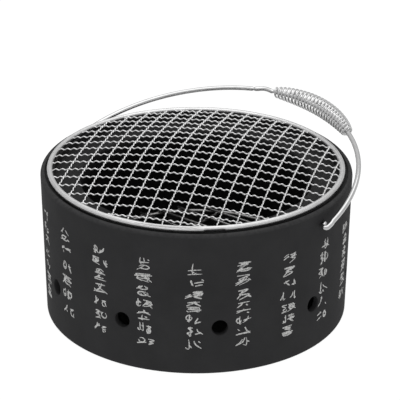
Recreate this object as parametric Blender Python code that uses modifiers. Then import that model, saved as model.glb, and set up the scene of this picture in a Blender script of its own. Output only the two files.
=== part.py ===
"""Portable tabletop charcoal grill.

A cast drum with draught holes, a lift-out fire pot with a charcoal grate, a domed grill net that lies on
the pot's rim, and a wire bail that carries a coil grip. Units are metres and +Z is up. The origin is the
centre of the drum's underside.
Run it with: blender --background --python part.py
"""

from math import cos, pi, radians, sin, sqrt

import bpy
from mathutils import Vector

MM = 0.001

# Drum: one cast shell, wider at the top, with an inward ledge for the fire pot under its lip
DRUM_BASE_RADIUS = 121.6 * MM
DRUM_TOP_RADIUS = 124.0 * MM
DRUM_SHOULDER = 116.6 * MM
LIP_HEIGHT = 119.1 * MM
LIP_INNER_RADIUS = 120.4 * MM
WALL = 4.5 * MM
FLOOR = 4.0 * MM
FLOOR_FILLET = 4.0 * MM
BASE_ROUND = 1.4 * MM
LEDGE_RADIUS = 116.3 * MM
LEDGE_TOP = 116.9 * MM
LEDGE_UNDERSIDE = 112.6 * MM
LEDGE_CHAMFER = 2.0 * MM
DRUM_STEPS = 64

# Fire pot: pressed sheet with a wide flange, a step up to its rim and a perforated floor
POT_SHEET = 1.5 * MM
POT_RIM_TOP = 118.7 * MM
POT_RIM_RADIUS = 118.0 * MM
POT_STEP_RADIUS = 113.0 * MM
POT_FLANGE_TOP = 112.0 * MM
POT_MOUTH_RADIUS = 92.0 * MM
POT_FLOOR_TOP = 37.95 * MM
POT_FLOOR_RADIUS = 89.6 * MM
POT_CORNER = 3.0 * MM
POT_BEND = 1.2 * MM
POT_STEPS = 60
POT_HOLE_RADIUS = 5.0 * MM
POT_HOLE_RINGS = ((6, 30.0 * MM), (12, 62.0 * MM))

# Draught holes around the drum. One of them sits off the even pitch.
VENT_COUNT = 10
VENT_RADIUS = 6.25 * MM
VENT_HEIGHT = 40.0 * MM
VENT_START = radians(-153.6)
VENT_OFF_PITCH = {3: radians(3.3)}

# Bail: a round wire, half a circle wide, that turns on its own ends in two holes of the drum
PIVOT_HEIGHT = 107.9 * MM
PIVOT_AZIMUTH = radians(-38.7)
PIVOT_HOLE_RADIUS = 2.6 * MM
BAIL_TILT = radians(14.8)
BAIL_RADIUS = 129.8 * MM
BAIL_WIRE = 2.0 * MM
HOOK_BEND = 2.15 * MM
HOOK_REACH = 130.45 * MM
HOOK_DROP = 2.6 * MM
HOOK_TIP = 116.9 * MM
PEENED_LENGTH = 1.8 * MM
PEENED_SCALE = 1.55
JOG_START = radians(-15.5)
JOG_END = radians(-7.4)
JOG_HEIGHT = 1.8 * MM

# Grip: a barrel-shaped coil round the bail
GRIP_START = radians(-6.5)
GRIP_END = radians(34.5)
GRIP_TURNS = 24.5
GRIP_WIRE = 0.8 * MM
GRIP_END_RADIUS = 4.2 * MM
GRIP_MIDDLE_RADIUS = 8.0 * MM
GRIP_STAND_OFF = 1.0 * MM
GRIP_POINTS_PER_TURN = 9

# Grill net: crimped wires woven at right angles inside a round ring, domed in the middle
NET_CENTRE = Vector((-1.34 * MM, -0.53 * MM))
RING_RADIUS = 116.1 * MM
RING_WIRE = 2.0 * MM
RING_HEIGHT = 121.0 * MM
DOME_RISE = 12.9 * MM
DOME_POWER = 1.6
NET_WIRE = 0.6 * MM
WEAVE = 0.8 * MM
WIRE_END_RADIUS = 113.2 * MM
LAST_CROSSING_RADIUS = 112.2 * MM
ROW_AZIMUTH = radians(-16.0)
ROW_PITCH = 13.15 * MM
ROW_SHIFT = -1.0 * MM
ROWS = range(-8, 9)
COLUMN_AZIMUTH = radians(75.5)
COLUMN_PITCH = 13.5 * MM
COLUMN_SHIFT = -3.7 * MM
COLUMN_BOW = 2.15 * MM
COLUMNS = range(-8, 8)

# Charcoal grate: a ring on the pot's floor, bars across it and two cross bars under the bars
GRATE_HEIGHT = 40.0 * MM
GRATE_RADIUS = 87.0 * MM
GRATE_RING_WIRE = 1.75 * MM
GRATE_BAR_WIRE = 1.25 * MM
GRATE_BAR_PITCH = 14.5 * MM
GRATE_BARS = range(-5, 6)
GRATE_CROSS_WIRE = 1.5 * MM
GRATE_CROSS_OFFSET = 36.0 * MM

# Gap left between pieces that touch, and how finely round shapes are faceted
GAP = 0.3 * MM
RING_STEPS = 72
HOLE_SIDES = 20


def clear_scene():
    for obj in list(bpy.data.objects):
        bpy.data.objects.remove(obj, do_unlink=True)


def new_collection(name):
    collection = bpy.data.collections.new(name)
    bpy.context.scene.collection.children.link(collection)
    return collection


def new_material(name, colour, roughness, metallic):
    material = bpy.data.materials.new(name)
    material.use_nodes = True
    shader = material.node_tree.nodes["Principled BSDF"]
    shader.inputs["Base Color"].default_value = (*colour, 1.0)
    shader.inputs["Roughness"].default_value = roughness
    shader.inputs["Metallic"].default_value = metallic
    material.diffuse_color = (*colour, 1.0)
    return material


def add_object(name, data, material, collection, parent=None):
    obj = bpy.data.objects.new(name, data)
    data.materials.append(material)
    collection.objects.link(obj)
    obj.parent = parent
    return obj


def add_pivot(name, place, collection):
    """An empty on a joint's axis, which its moving pieces are parented to."""
    pivot = bpy.data.objects.new(name, None)
    pivot.location = place
    pivot.empty_display_size = 20 * MM
    collection.objects.link(pivot)
    return pivot


def add_tube(name, points, radius, material, collection, parent, scales=None, sides=8, closed=False):
    """A round wire through points. sides is its number of flats, and scales its thickness at each point."""
    curve = bpy.data.curves.new(name, "CURVE")
    curve.dimensions = "3D"
    curve.bevel_depth = radius
    curve.bevel_resolution = (sides - 4) // 2
    curve.use_fill_caps = not closed
    spline = curve.splines.new("POLY")
    spline.points.add(len(points) - 1)
    for index, place in enumerate(points):
        spline.points[index].co = (*place, 1.0)
        spline.points[index].radius = scales[index] if scales else 1.0
    spline.use_cyclic_u = closed
    return add_object(name, curve, material, collection, parent)


def add_turned(name, profile, steps, material, collection):
    """A solid of revolution. The profile runs from the axis, down its outer side, back to the axis."""
    mesh = bpy.data.meshes.new(name)
    corners = [(radius, 0.0, height) for radius, height in profile]
    edges = [(index, index + 1) for index in range(len(corners) - 1)]
    mesh.from_pydata(corners, edges, [])
    obj = add_object(name, mesh, material, collection)
    screw = obj.modifiers.new("turn", "SCREW")
    screw.axis = "Z"
    screw.steps = steps
    screw.render_steps = steps
    screw.use_merge_vertices = True
    screw.merge_threshold = 0.00001
    return obj


def cut_round_hole(target, name, radius, length, place, rotation, collection):
    """Cuts a round hole in target. The hole's axis is +Z turned by rotation."""
    bpy.ops.mesh.primitive_cylinder_add(vertices=HOLE_SIDES, radius=radius, depth=length)
    cutter = bpy.context.object
    cutter.name = name
    for owner in list(cutter.users_collection):
        owner.objects.unlink(cutter)
    collection.objects.link(cutter)
    cutter.location = place
    cutter.rotation_euler = rotation
    cutter.hide_render = True
    cutter.display_type = "WIRE"
    cut = target.modifiers.new(name, "BOOLEAN")
    cut.operation = "DIFFERENCE"
    cut.solver = "EXACT"
    cut.object = cutter


def arc(centre, radius, start, end, count):
    """count + 1 points of a circle's arc in a plane, with its angles in radians."""
    angles = [start + (end - start) * step / count for step in range(count + 1)]
    return [(centre[0] + radius * cos(angle), centre[1] + radius * sin(angle)) for angle in angles]


def drum_outer_radius(height):
    share = height / DRUM_SHOULDER
    return DRUM_BASE_RADIUS + (DRUM_TOP_RADIUS - DRUM_BASE_RADIUS) * share


def drum_profile():
    fillet_top = FLOOR + FLOOR_FILLET
    fillet_centre = (drum_outer_radius(fillet_top) - WALL - FLOOR_FILLET, fillet_top)
    lip_round = LIP_HEIGHT - DRUM_SHOULDER
    lip_centre = (DRUM_TOP_RADIUS - lip_round, DRUM_SHOULDER)
    base_centre = (drum_outer_radius(BASE_ROUND) - BASE_ROUND, BASE_ROUND)
    profile = [(0.0, FLOOR)]
    profile += arc(fillet_centre, FLOOR_FILLET, -pi / 2, 0.0, 3)
    profile += [
        (drum_outer_radius(LEDGE_UNDERSIDE) - WALL, LEDGE_UNDERSIDE),
        (LEDGE_RADIUS, LEDGE_UNDERSIDE + LEDGE_CHAMFER),
        (LEDGE_RADIUS, LEDGE_TOP),
        (LIP_INNER_RADIUS, LEDGE_TOP),
        (LIP_INNER_RADIUS, LIP_HEIGHT),
    ]
    profile += arc(lip_centre, lip_round, pi / 2, 0.0, 4)
    profile += arc(base_centre, BASE_ROUND, 0.0, -pi / 2, 2)
    profile.append((0.0, 0.0))
    return profile


def cut_wall_hole(drum, name, radius, azimuth, height, cutters):
    """Cuts a round hole through the drum's wall, level and square to the wall."""
    reach = drum_outer_radius(height) - WALL / 2
    place = (reach * cos(azimuth), reach * sin(azimuth), height)
    cut_round_hole(drum, name, radius, 3 * WALL, place, (0.0, pi / 2, azimuth), cutters)


def build_drum(coating, parts, cutters):
    drum = add_turned("drum_body", drum_profile(), DRUM_STEPS, coating, parts)
    for index in range(VENT_COUNT):
        azimuth = VENT_START + 2 * pi * index / VENT_COUNT + VENT_OFF_PITCH.get(index, 0.0)
        cut_wall_hole(drum, f"vent_cutter_{index + 1}", VENT_RADIUS, azimuth, VENT_HEIGHT, cutters)
    for index in range(2):
        azimuth = PIVOT_AZIMUTH + pi * index
        cut_wall_hole(drum, f"pivot_cutter_{index + 1}", PIVOT_HOLE_RADIUS, azimuth, PIVOT_HEIGHT, cutters)


def pot_profile():
    """The pot's section: along its inside from the axis to the rim, and back along its outside."""
    floor_corner = (POT_FLOOR_RADIUS - POT_CORNER, POT_FLOOR_TOP + POT_CORNER)
    mouth_corner = (POT_MOUTH_RADIUS + POT_CORNER, POT_FLANGE_TOP - POT_CORNER)
    flange_corner = (POT_STEP_RADIUS - POT_BEND, POT_FLANGE_TOP + POT_BEND)
    rim_corner = (POT_STEP_RADIUS + POT_BEND, POT_RIM_TOP - POT_BEND)
    profile = [(0.0, POT_FLOOR_TOP)]
    profile += arc(floor_corner, POT_CORNER, -pi / 2, 0.0, 3)
    profile += arc(mouth_corner, POT_CORNER, pi, pi / 2, 3)
    profile += arc(flange_corner, POT_BEND, -pi / 2, 0.0, 2)
    profile += arc(rim_corner, POT_BEND, pi, pi / 2, 2)
    profile += [
        (POT_RIM_RADIUS, POT_RIM_TOP),
        (POT_RIM_RADIUS, POT_RIM_TOP - POT_SHEET),
        (POT_STEP_RADIUS + POT_SHEET, POT_RIM_TOP - POT_SHEET),
        (POT_STEP_RADIUS + POT_SHEET, POT_FLANGE_TOP - POT_SHEET),
        (POT_MOUTH_RADIUS + POT_SHEET + 1 * MM, POT_FLANGE_TOP - POT_SHEET),
        (POT_MOUTH_RADIUS + POT_SHEET, POT_FLANGE_TOP - POT_CORNER),
        (POT_FLOOR_RADIUS + POT_SHEET, POT_FLOOR_TOP + POT_CORNER),
    ]
    profile += arc(floor_corner, POT_CORNER + POT_SHEET, 0.0, -pi / 2, 3)
    profile.append((0.0, POT_FLOOR_TOP - POT_SHEET))
    return profile


def build_pot(coating, parts, cutters, seat):
    pot = add_turned("fire_pot", pot_profile(), POT_STEPS, coating, parts)
    pot.parent = seat
    pot.location = -seat.location
    for count, reach in POT_HOLE_RINGS:
        for index in range(count):
            azimuth = 2 * pi * (index + 0.5) / count
            place = (reach * cos(azimuth), reach * sin(azimuth), POT_FLOOR_TOP)
            name = f"pot_cutter_{count}_{index + 1}"
            cut_round_hole(pot, name, POT_HOLE_RADIUS, 6 * POT_SHEET, place, (0.0, 0.0, 0.0), cutters)


def jog(angle):
    """How far the bail's wire steps outwards at this angle, to stop the grip from sliding past."""
    if not JOG_START < angle < JOG_END:
        return 0.0
    share = (angle - JOG_START) / (JOG_END - JOG_START)
    return JOG_HEIGHT * sin(pi * share) ** 2


def bail_arc():
    """The bail's half circle in its own plane, x along the pivot axis and y across it."""
    start, end, step = -pi / 2, pi / 2, radians(3.0)
    angles = [start + step * index for index in range(round((end - start) / step) + 1)]
    angles = [angle for angle in angles if not JOG_START < angle < JOG_END]
    angles += [JOG_START + (JOG_END - JOG_START) * index / 8 for index in range(1, 8)]
    points = []
    for angle in sorted(angles):
        radius = BAIL_RADIUS + jog(angle)
        points.append((radius * sin(angle), radius * cos(angle)))
    return points[1:-1]


def hook_path():
    """The hook past the bail's last arc point: round below the axis, back up and into the wall."""
    turn_centre = (HOOK_REACH - HOOK_BEND, -HOOK_DROP)
    entry_centre = (HOOK_REACH - 3 * HOOK_BEND, -HOOK_BEND)
    points = [(HOOK_REACH, 0.0)]
    points += arc(turn_centre, HOOK_BEND, 0.0, -pi, 8)
    points += arc(entry_centre, HOOK_BEND, 0.0, pi / 2, 4)
    peen_start = HOOK_TIP + PEENED_LENGTH
    return points + [(peen_start + 0.2 * MM, 0.0), (peen_start, 0.0), (HOOK_TIP, 0.0)]


def build_bail(steel, parts, pivot):
    hook = hook_path()
    left_hook = [(-x, y) for x, y in reversed(hook)]
    outline = left_hook + bail_arc() + hook
    scales = [1.0] * len(outline)
    for index in (0, 1, -1, -2):
        scales[index] = PEENED_SCALE
    points = [(x, y, 0.0) for x, y in outline]
    add_tube("bail_wire", points, BAIL_WIRE, steel, parts, pivot, scales=scales)


def grip_outer_radius(share):
    """The coil's outer radius, at this share of its length."""
    return GRIP_END_RADIUS + (GRIP_MIDDLE_RADIUS - GRIP_END_RADIUS) * sin(pi * share) ** 0.6


def build_grip(steel, parts, pivot):
    count = round(GRIP_TURNS * GRIP_POINTS_PER_TURN)
    points = []
    for index in range(count + 1):
        share = index / count
        angle = GRIP_START + (GRIP_END - GRIP_START) * share
        turn = 2 * pi * GRIP_TURNS * share
        coil = grip_outer_radius(share) - GRIP_WIRE
        radius = BAIL_RADIUS + GRIP_STAND_OFF * sin(pi * share) + coil * cos(turn)
        points.append((radius * sin(angle), radius * cos(angle), coil * sin(turn)))
    add_tube("grip_coil", points, GRIP_WIRE, steel, parts, pivot, sides=6)


def direction(azimuth):
    return Vector((cos(azimuth), sin(azimuth)))


def net_crossing(row, column):
    """Where a row wire and a column wire cross, in plan, from the net's centre."""
    along = direction(ROW_AZIMUTH)
    across = direction(ROW_AZIMUTH + pi / 2)
    column_along = direction(COLUMN_AZIMUTH)
    column_across = direction(COLUMN_AZIMUTH + pi / 2)
    row_offset = ROW_SHIFT + ROW_PITCH * row
    place = Vector((0.0, 0.0))
    for _ in range(4):
        offset = column_offset(column, place.dot(column_along))
        reach = (offset - row_offset * across.dot(column_across)) / along.dot(column_across)
        place = along * reach + across * row_offset
    return place


def column_offset(column, reach):
    """A column wire's distance from the net's centre line. Each column bows a little sideways."""
    return COLUMN_SHIFT + COLUMN_PITCH * column + COLUMN_BOW * (1 - (reach / RING_RADIUS) ** 2)


def row_ends(row):
    offset = ROW_SHIFT + ROW_PITCH * row
    half = sqrt(WIRE_END_RADIUS**2 - offset**2)
    middle = direction(ROW_AZIMUTH + pi / 2) * offset
    return middle - direction(ROW_AZIMUTH) * half, middle + direction(ROW_AZIMUTH) * half


def column_ends(column):
    ends = []
    for side in (-1, 1):
        reach = side * RING_RADIUS
        for _ in range(4):
            offset = column_offset(column, reach)
            reach = side * sqrt(WIRE_END_RADIUS**2 - offset**2)
        ends.append(direction(COLUMN_AZIMUTH) * reach + direction(COLUMN_AZIMUTH + pi / 2) * offset)
    return ends


def dome_height(place):
    """The net's height over the ring's centre plane."""
    return DOME_RISE * (1 - (place.length / RING_RADIUS) ** DOME_POWER)


def net_wire_points(ends, crossings):
    """A wire from end to end. A crossing is (place, side), with side 1 for over and -1 for under."""
    start, end = ends
    along = (end - start).normalized()
    inside = [item for item in crossings if item[0].length < LAST_CROSSING_RADIUS]
    inside.sort(key=lambda item: item[0].dot(along))
    stops = [(start, inside[0][1]), *inside, (end, inside[-1][1])]
    return [(place.x, place.y, dome_height(place) + WEAVE * side) for place, side in stops]


def weave_side(row, column):
    return 1 if (row + column) % 2 == 0 else -1


def build_net(steel, parts, pivot):
    ring = [(x, y, 0.0) for x, y in arc((0.0, 0.0), RING_RADIUS, 0.0, 2 * pi, RING_STEPS)[:-1]]
    add_tube("net_ring", ring, RING_WIRE, steel, parts, pivot, closed=True)
    for row in ROWS:
        crossings = [(net_crossing(row, column), weave_side(row, column)) for column in COLUMNS]
        points = net_wire_points(row_ends(row), crossings)
        add_tube(f"net_row_{row - ROWS[0] + 1:02d}", points, NET_WIRE, steel, parts, pivot, sides=4)
    for column in COLUMNS:
        crossings = [(net_crossing(row, column), -weave_side(row, column)) for row in ROWS]
        points = net_wire_points(column_ends(column), crossings)
        name = f"net_column_{column - COLUMNS[0] + 1:02d}"
        add_tube(name, points, NET_WIRE, steel, parts, pivot, sides=4)


def grate_place(reach, offset, height):
    """A point of the grate: reach along its bars, offset across them."""
    place = direction(PIVOT_AZIMUTH) * reach + direction(PIVOT_AZIMUTH + pi / 2) * offset
    return (place.x, place.y, height)


def build_grate(steel, parts, pivot):
    ring = [(x, y, 0.0) for x, y in arc((0.0, 0.0), GRATE_RADIUS, 0.0, 2 * pi, RING_STEPS)[:-1]]
    add_tube("grate_ring", ring, GRATE_RING_WIRE, steel, parts, pivot, sides=6, closed=True)
    bar_height = GRATE_RING_WIRE + GAP + GRATE_BAR_WIRE
    bar_circle = GRATE_RADIUS + GRATE_BAR_WIRE
    for number, bar in enumerate(GRATE_BARS, start=1):
        offset = GRATE_BAR_PITCH * bar
        half = sqrt(bar_circle**2 - offset**2)
        points = [grate_place(side * half, offset, bar_height) for side in (-1, 1)]
        add_tube(f"grate_bar_{number:02d}", points, GRATE_BAR_WIRE, steel, parts, pivot)
    cross_height = bar_height - GRATE_BAR_WIRE - GAP - GRATE_CROSS_WIRE
    cross_circle = GRATE_RADIUS - GRATE_RING_WIRE - GAP - GRATE_CROSS_WIRE / 2
    half = sqrt(cross_circle**2 - GRATE_CROSS_OFFSET**2)
    for number, reach in enumerate((-GRATE_CROSS_OFFSET, GRATE_CROSS_OFFSET), start=1):
        points = [grate_place(reach, side * half, cross_height) for side in (-1, 1)]
        add_tube(f"grate_cross_bar_{number}", points, GRATE_CROSS_WIRE, steel, parts, pivot)


def main():
    clear_scene()
    parts = new_collection("tabletop_grill")
    cutters = new_collection("cutters")
    coating = new_material("dark_coating", (0.028, 0.028, 0.030), 0.5, 0.0)
    bright_steel = new_material("bright_steel", (0.72, 0.72, 0.73), 0.22, 1.0)
    grate_steel = new_material("grate_steel", (0.55, 0.55, 0.56), 0.35, 1.0)

    build_drum(coating, parts, cutters)
    pot_seat = add_pivot("pot_seat", (0.0, 0.0, POT_FLANGE_TOP), parts)
    build_pot(coating, parts, cutters, pot_seat)
    bail_pivot = add_pivot("bail_pivot", (0.0, 0.0, PIVOT_HEIGHT), parts)
    bail_pivot.rotation_euler = (BAIL_TILT, 0.0, PIVOT_AZIMUTH)
    build_bail(bright_steel, parts, bail_pivot)
    build_grip(bright_steel, parts, bail_pivot)
    net_seat = add_pivot("net_seat", (*NET_CENTRE, RING_HEIGHT), parts)
    build_net(bright_steel, parts, net_seat)
    grate_seat = add_pivot("grate_seat", (0.0, 0.0, GRATE_HEIGHT), parts)
    build_grate(grate_steel, parts, grate_seat)


main()
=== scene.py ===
"""Looks for the portable tabletop charcoal grill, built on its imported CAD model.

Units are metres, +Z is up, and the origin is the centre of the drum's underside.
"""

import random
from math import cos, pi, radians, sin, sqrt

import bpy
import numpy as np
from mathutils import Matrix, Vector


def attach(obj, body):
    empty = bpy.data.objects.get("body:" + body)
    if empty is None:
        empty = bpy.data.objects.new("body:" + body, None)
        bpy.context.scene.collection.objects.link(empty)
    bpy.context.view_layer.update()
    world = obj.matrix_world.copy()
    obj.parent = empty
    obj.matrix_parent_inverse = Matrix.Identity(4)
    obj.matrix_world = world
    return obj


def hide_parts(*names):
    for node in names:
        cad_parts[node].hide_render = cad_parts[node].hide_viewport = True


MM = 0.001

# Drum: the CAD model's sizes, with the edges of its lip and its holes rounded
DRUM_BASE_RADIUS = 121.6 * MM
DRUM_TOP_RADIUS = 124.0 * MM
DRUM_SHOULDER = 116.6 * MM
LIP_HEIGHT = 119.1 * MM
LIP_INNER_RADIUS = 120.4 * MM
LIP_EDGE = 0.7 * MM
WALL = 4.5 * MM
FLOOR = 4.0 * MM
FLOOR_FILLET = 4.0 * MM
BASE_ROUND = 1.4 * MM
LEDGE_RADIUS = 116.3 * MM
LEDGE_TOP = 116.9 * MM
LEDGE_UNDERSIDE = 112.6 * MM
LEDGE_CHAMFER = 2.0 * MM
WALL_RING_PITCH = 3.2 * MM
VENT_COUNT = 10
VENT_RADIUS = 6.25 * MM
VENT_HEIGHT = 40.0 * MM
VENT_START = radians(-153.6)
VENT_OFF_PITCH = {3: radians(3.3)}
VENT_ROUND = 0.7 * MM
PIVOT_ROUND = 0.1 * MM
HOLE_SIDES = 48
HOLE_SINK = 0.1 * MM
FLOOR_RING = 60.0 * MM
BASE_RING = 100.0 * MM

# Fire pot
POT_SHEET = 1.5 * MM
POT_RIM_TOP = 118.7 * MM
POT_RIM_RADIUS = 118.0 * MM
POT_STEP_RADIUS = 113.0 * MM
POT_FLANGE_TOP = 112.0 * MM
POT_MOUTH_RADIUS = 92.0 * MM
POT_FLOOR_TOP = 37.95 * MM
POT_FLOOR_RADIUS = 89.6 * MM
POT_CORNER = 3.0 * MM
POT_BEND = 1.2 * MM
POT_HOLE_RADIUS = 5.0 * MM
POT_HOLE_RINGS = ((6, 30.0 * MM), (12, 62.0 * MM))
POT_HOLE_SIDES = 32
POT_CUT = 4.0 * MM
POT_FLOOR_RING = 45.0 * MM
# Painted shade inside the pot: full below the first height, none above the second.
INSIDE_SHADE_BOTTOM = 96.0 * MM
INSIDE_SHADE_TOP = 109.0 * MM

# Bail: its wire, its flattened heads and its pivot holes are a little smaller than in the CAD model
PIVOT_HEIGHT = 107.9 * MM
PIVOT_AZIMUTH = radians(-38.7)
PIVOT_HOLE_RADIUS = 2.2 * MM
BAIL_TILT = radians(14.8)
BAIL_RADIUS = 129.8 * MM
BAIL_WIRE = 1.95 * MM
HOOK_BEND = 2.15 * MM
HOOK_REACH = 130.45 * MM
HOOK_DROP = 2.6 * MM
HOOK_TIP = 117.3 * MM
PEENED_LENGTH = 1.4 * MM
PEENED_SCALE = 1.5
JOG_START = radians(-15.5)
JOG_END = radians(-7.4)
JOG_HEIGHT = 1.8 * MM
PINCH_LENGTH = 0.9 * MM
PINCH_DEPTH = 0.3
PEENED_BLEND = 0.6 * MM
BAIL_STEP = 0.5 * MM

# Grip coil: its middle is a little slimmer than in the CAD model
GRIP_START = radians(-6.5)
GRIP_END = radians(34.5)
GRIP_TURNS = 24.5
GRIP_WIRE = 0.8 * MM
GRIP_END_RADIUS = 4.2 * MM
GRIP_MIDDLE_RADIUS = 7.8 * MM
GRIP_STAND_OFF = 1.0 * MM
GRIP_FULLNESS = 0.6
GRIP_POINTS_PER_TURN = 28

# Grill net: its centres and its wires' thickness differ a little from the CAD model
NET_CENTRE = Vector((-1.34 * MM, -1.2 * MM))
RING_CENTRE = Vector((-0.34 * MM, -0.53 * MM))
RING_RADIUS = 116.1 * MM
RING_WIRE = 2.2 * MM
RING_HEIGHT = 121.0 * MM
SEAM_ANGLE = radians(47.0)
SEAM_WIDTH = radians(5.0)
SEAM_DEPTH = 0.12 * MM
OPEN_SEAM_AZIMUTH = radians(-101.0)
OPEN_SEAM_REACH = radians(10.0)
OPEN_SEAM_DEPTH = 1.5 * MM
JOINT_START = radians(-87.2)
JOINT_END = radians(-79.4)
JOINT_DEPTH = 0.75 * MM
JOINT_ANGLE = radians(-35.0)
JOINT_SPREAD = radians(60.0)
JOINT_BLEND = radians(0.5)
RING_SIDES = 60
DOME_RISE = 12.9 * MM
DOME_POWER = 1.6
NET_WIRE = 0.62 * MM
ROW_WEAVE = 0.52 * MM
COLUMN_WEAVE = 0.74 * MM
WAVES_PER_CELL = 2.5
NET_WIRE_REACH = 115.6 * MM
ROW_AZIMUTH = radians(-16.0)
ROW_PITCH = 13.15 * MM
ROW_SHIFT = -1.0 * MM
ROWS = range(-8, 9)
COLUMN_AZIMUTH = radians(75.5)
COLUMN_PITCH = 13.5 * MM
COLUMN_SHIFT = -3.7 * MM
COLUMN_BOW = 2.15 * MM
COLUMNS = range(-8, 8)
CROSSING_RANGE = range(-12, 13)
NET_STEP = 0.5 * MM

# Charcoal grate
GRATE_HEIGHT = 40.0 * MM
GRATE_RADIUS = 87.0 * MM
GRATE_RING_WIRE = 1.75 * MM
GRATE_BAR_WIRE = 1.25 * MM
GRATE_BAR_PITCH = 14.5 * MM
GRATE_BARS = range(-5, 6)
GRATE_CROSS_WIRE = 1.5 * MM
GRATE_CROSS_OFFSET = 36.0 * MM
GRATE_CROSS_OVERRUN = 1.0 * MM
RING_WELD = 1.5 * MM
CROSS_WELD = 1.3 * MM
WELD_DROP = 1.2 * MM
WELD_FLATNESS = 0.7
GAP = 0.3 * MM

# Printed brush marks: columns of invented strokes round the drum
MARK_COLUMN_COUNT = 20
MARK_COLUMN_START = radians(-162.8)
MARK_FRONT_COLUMNS = 9
MARK_SEED = 27
MARK_STEP = 0.7 * MM
MARK_WIDTHS = (11.5 * MM, 15.0 * MM)
MARK_SWAY = 0.9 * MM
BRUSH_WIDTHS = (0.75 * MM, 1.2 * MM)
INK_UNDER = 0.02 * MM
INK_OVER = 0.05 * MM
INK_STEP = 0.005 * MM
MARK_CLEARANCE = 1.6 * MM
MARK_TOP = 102.0 * MM
MARK_FALL = 10.0 * MM
MARK_BOTTOMS = (19.5 * MM, 22.5 * MM)

# Camera and light
CAMERA_TARGET = Vector((0.0, 0.0, 60.0 * MM))
CAMERA_AZIMUTH = radians(-0.164)
CAMERA_ELEVATION = radians(25.983)
CAMERA_DISTANCE = 1.64637
CAMERA_PITCH = radians(0.961)
CAMERA_YAW = radians(0.102)
CAMERA_ROLL = radians(0.209)
CAMERA_LENS = 183.37
SENSOR_WIDTH = 36.0
SOFTBOX_PLACE = (0.0, 0.15, 1.5)
SOFTBOX_SIZE = (1.7, 1.7)
SOFTBOX_POWER = 6.5
HORIZON_COLOUR = (0.37, 0.37, 0.375, 1.0)
SKY_COLOUR = (0.6, 0.6, 0.6, 1.0)
SKY_FROM = 0.7
FLOOR_REACH = 6.0
FLOOR_LEVEL = -0.2 * MM
FLOOR_GLOW = 0.96
FLOOR_MIRRORED = 0.55

# How finely things are drawn, and the sharpest edge in degrees that is shaded smooth
DRUM_STEPS = 320
POT_STEPS = 240
RING_STEPS = 720
SMOOTH_ANGLE = 35.0
CUT_SMOOTH_ANGLE = 32.0
MARK_SMOOTH_ANGLE = 60.0
# How far past a wire's end each ring of its rounded cut lies, and the ring's size, as shares of its radius
END_RINGS = ((0.14, 0.94), (0.24, 0.78))

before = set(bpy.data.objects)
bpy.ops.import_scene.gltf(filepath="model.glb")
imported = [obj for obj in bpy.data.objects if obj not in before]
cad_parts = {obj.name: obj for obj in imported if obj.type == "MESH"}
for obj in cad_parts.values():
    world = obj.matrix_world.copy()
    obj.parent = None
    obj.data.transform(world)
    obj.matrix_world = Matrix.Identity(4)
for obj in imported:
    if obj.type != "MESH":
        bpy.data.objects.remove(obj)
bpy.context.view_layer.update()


# ---------------------------------------------------------------- meshes


def mesh_object(name, corners, faces, material, smooth_angle=SMOOTH_ANGLE):
    """A mesh in the scene, shaded smooth up to edges of smooth_angle degrees."""
    mesh = bpy.data.meshes.new(name)
    mesh.from_pydata(np.asarray(corners).tolist(), [], [list(face) for face in faces])
    mesh.materials.append(material)
    mesh.shade_smooth()
    mesh.set_sharp_from_angle(angle=radians(smooth_angle))
    obj = bpy.data.objects.new(name, mesh)
    bpy.context.scene.collection.objects.link(obj)
    return obj


def joined(shapes):
    """One list of corners and one of faces from several."""
    corners, faces, first = [], [], 0
    for shape_corners, shape_faces in shapes:
        corners.append(shape_corners)
        faces += [[index + first for index in face] for face in shape_faces]
        first += len(shape_corners)
    return np.concatenate(corners), faces


def band_faces(rings, sides, closed):
    """Quads between rings of corners, each ring closed round, and the rings closed if asked."""
    faces = []
    for ring in range(rings if closed else rings - 1):
        here = ring * sides
        there = ((ring + 1) % rings) * sides
        for side in range(sides):
            after = (side + 1) % sides
            faces.append([here + side, here + after, there + after, there + side])
    return faces


def tube(path, up, radius, sides=12, closed=False, scales=None):
    """A round wire along path. up steers its section, and scales gives its size at each point."""
    path = np.asarray(path, float)
    if closed:
        along = np.roll(path, -1, axis=0) - np.roll(path, 1, axis=0)
    else:
        along = np.gradient(path, axis=0)
    along /= np.linalg.norm(along, axis=1)[:, None]
    scales = np.ones(len(path)) if scales is None else np.asarray(scales, float)
    up = np.broadcast_to(np.asarray(up, float), path.shape)
    if not closed:
        path, along, up, scales = with_ends(path, along, up, scales, radius)
    up = up - (up * along).sum(axis=1)[:, None] * along
    up /= np.linalg.norm(up, axis=1)[:, None]
    side = np.cross(along, up)
    angles = np.linspace(0.0, 2 * pi, sides, endpoint=False)
    reach = (radius * scales)[:, None, None]
    section = np.cos(angles)[:, None] * side[:, None] + np.sin(angles)[:, None] * up[:, None]
    corners = (path[:, None] + reach * section).reshape(-1, 3)
    faces = [face[::-1] for face in band_faces(len(path), sides, closed)]
    if not closed:
        faces.append(list(range(sides)))
        faces.append(list(range(len(corners) - 1, len(corners) - sides - 1, -1)))
    return corners, faces


def with_ends(path, along, up, scales, radius):
    """Adds the rings of a slightly rounded cut to both ends of a wire."""
    start, end = path[0], path[-1]
    first, last = scales[0], scales[-1]
    for back, share in END_RINGS:
        before = start - along[0] * back * radius * first
        after = end + along[-1] * back * radius * last
        path = np.concatenate([[before], path, [after]])
        along = np.concatenate([along[:1], along, along[-1:]])
        up = np.concatenate([up[:1], up, up[-1:]])
        scales = np.concatenate([[first * share], scales, [last * share]])
    return path, along, up, scales


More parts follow.
